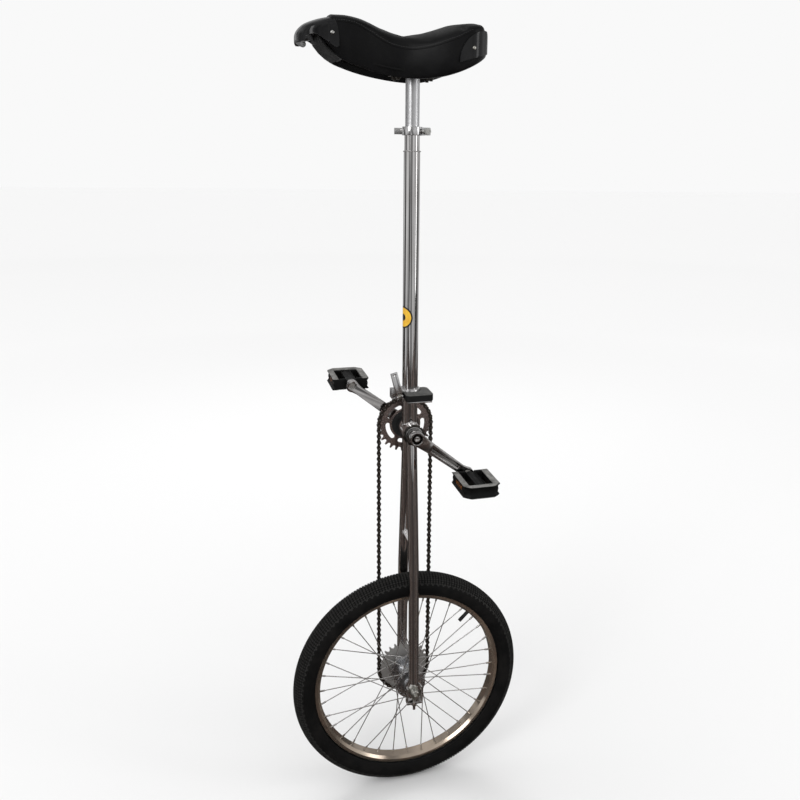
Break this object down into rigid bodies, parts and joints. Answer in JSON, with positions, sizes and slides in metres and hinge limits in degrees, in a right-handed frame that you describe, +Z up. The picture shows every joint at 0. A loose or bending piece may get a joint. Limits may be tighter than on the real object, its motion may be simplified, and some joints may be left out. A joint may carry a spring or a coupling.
{
  "type": "unicycle",
  "caption": "Tall chain-driven unicycle: padded saddle on a clamped post, chromed fork over a spoked wheel, cranks and pedals high on the frame driving it by chain.",
  "frame": {"origin": "the tyre's contact point on the ground, under the middle of the wheel", "axes": "+Z up, -X forward (the saddle's grip end), +Y the rider's right, where the chain runs; the wheel and crank axles lie along Y"},
  "size_m": [0.508, 0.3132, 1.6352],
  "materials": {
    "frame_chrome": "polished",
    "bearing_steel": "ground",
    "dark_steel": "blackened",
    "fastener_zinc": "zinc plated",
    "clamp_alloy": "polished",
    "chain_steel": "oiled",
    "step_rubber": "moulded, worn top",
    "tyre_rubber": "matte",
    "tube_rubber": "smooth",
    "black_cap": "moulded",
    "rim_chrome": "polished",
    "tape_cloth": "woven",
    "spoke_steel": "plated",
    "hub_alloy": "polished",
    "sprocket_steel": "bare steel",
    "chainring_chrome": "polished",
    "guard_black": "moulded",
    "crank_steel": "polished",
    "pedal_black": "moulded grain",
    "pedal_grey": "textured",
    "reflector_amber": "prismatic",
    "post_alloy": "satin",
    "saddle_base_plastic": "moulded",
    "saddle_vinyl": "smooth vinyl",
    "bumper_gloss": "gloss"
  },
  "bodies": {
    "frame": {"main_tube": "frame_chrome", "tube_sleeve": "frame_chrome", "bb_shell": "frame_chrome", "bb_cup_right": "bearing_steel", "bb_cup_left": "bearing_steel", "bb_lockring": "dark_steel", "bearing_balls": "bearing_steel", "leg_left": "frame_chrome", "leg_right": "frame_chrome", "leg_bridge": "frame_chrome", "dropout_left": "frame_chrome", "dropout_right": "frame_chrome", "tensioner_bolts": "fastener_zinc", "tensioner_nuts": "fastener_zinc", "axle": "fastener_zinc", "axle_cones": "bearing_steel", "axle_nuts": "fastener_zinc", "axle_washers": "fastener_zinc", "seat_clamp": "clamp_alloy", "qr_bolts": "fastener_zinc", "qr_nuts": "fastener_zinc", "qr_washers": "fastener_zinc", "chain_outer_links": "chain_steel", "chain_inner_links": "chain_steel", "step_clamp": "clamp_alloy", "step_block": "step_rubber"},
    "wheel": {"tyre": "tyre_rubber", "inner_tube": "tube_rubber", "rim": "rim_chrome", "rim_tape": "tape_cloth", "valve_stem": "tube_rubber", "valve_cap": "black_cap", "spokes_left": "spoke_steel", "spokes_right": "spoke_steel", "nipples": "spoke_steel", "hub_shell": "hub_alloy", "wheel_sprocket": "sprocket_steel", "sprocket_lockring": "dark_steel"},
    "cranks": {"crank_spindle": "bearing_steel", "chainring": "chainring_chrome", "chainring_disc": "guard_black", "crank_left": "crank_steel", "crank_right": "crank_steel", "crank_bolts": "fastener_zinc", "pedal_axles": "fastener_zinc"},
    "pedal_left": {"pedal_body_left": "pedal_black", "pedal_treads_left": "pedal_grey", "pedal_reflectors_left": "reflector_amber"},
    "pedal_right": {"pedal_body_right": "pedal_black", "pedal_treads_right": "pedal_grey", "pedal_reflectors_right": "reflector_amber"},
    "seat": {"seat_post": "post_alloy", "saddle_plate": "dark_steel", "saddle_base": "saddle_base_plastic", "saddle_pad": "saddle_vinyl", "front_bumper": "bumper_gloss", "rear_bumper": "bumper_gloss", "saddle_bolts": "dark_steel"},
    "seat_lever": {"seat_clamp_lever": "clamp_alloy"},
    "step_release": {"step_lever": "clamp_alloy"}
  },
  "joints": [
    {"name": "wheel_spin", "type": "hinge", "parent": "frame", "child": "wheel", "pos_m": [0, 0, 0.254], "axis": [0, 1, 0], "continuous": true, "deforming": ["chain_outer_links", "chain_inner_links"]},
    {"name": "crank_spin", "type": "hinge", "parent": "frame", "child": "cranks", "pos_m": [0, 0, 0.8382], "axis": [0, 1, 0], "continuous": true},
    {"name": "left_pedal_spin", "type": "hinge", "parent": "cranks", "child": "pedal_left", "pos_m": [0.11032, -0.11, 0.75201], "axis": [0, 1, 0], "continuous": true},
    {"name": "right_pedal_spin", "type": "hinge", "parent": "cranks", "child": "pedal_right", "pos_m": [-0.11032, 0.11, 0.92439], "axis": [0, 1, 0], "continuous": true},
    {"name": "seat_height", "type": "slide", "parent": "frame", "child": "seat", "axis": [0, 0, 1], "range_m": [-0.06, 0.1]},
    {"name": "seat_lever_swing", "type": "hinge", "parent": "frame", "child": "seat_lever", "pos_m": [0.027, 0.0215, 1.4392], "axis": [0, 0, -1], "range_deg": [0, 150]},
    {"name": "step_lever_swing", "type": "hinge", "parent": "frame", "child": "step_release", "pos_m": [-0.0275, -0.022, 0.9182], "axis": [0.9703, 0, 0.2419], "range_deg": [0, 110]}
  ],
  "couplings": [
    {"joint": "crank_spin", "follows": "wheel_spin", "ratio": 1}
  ]
}
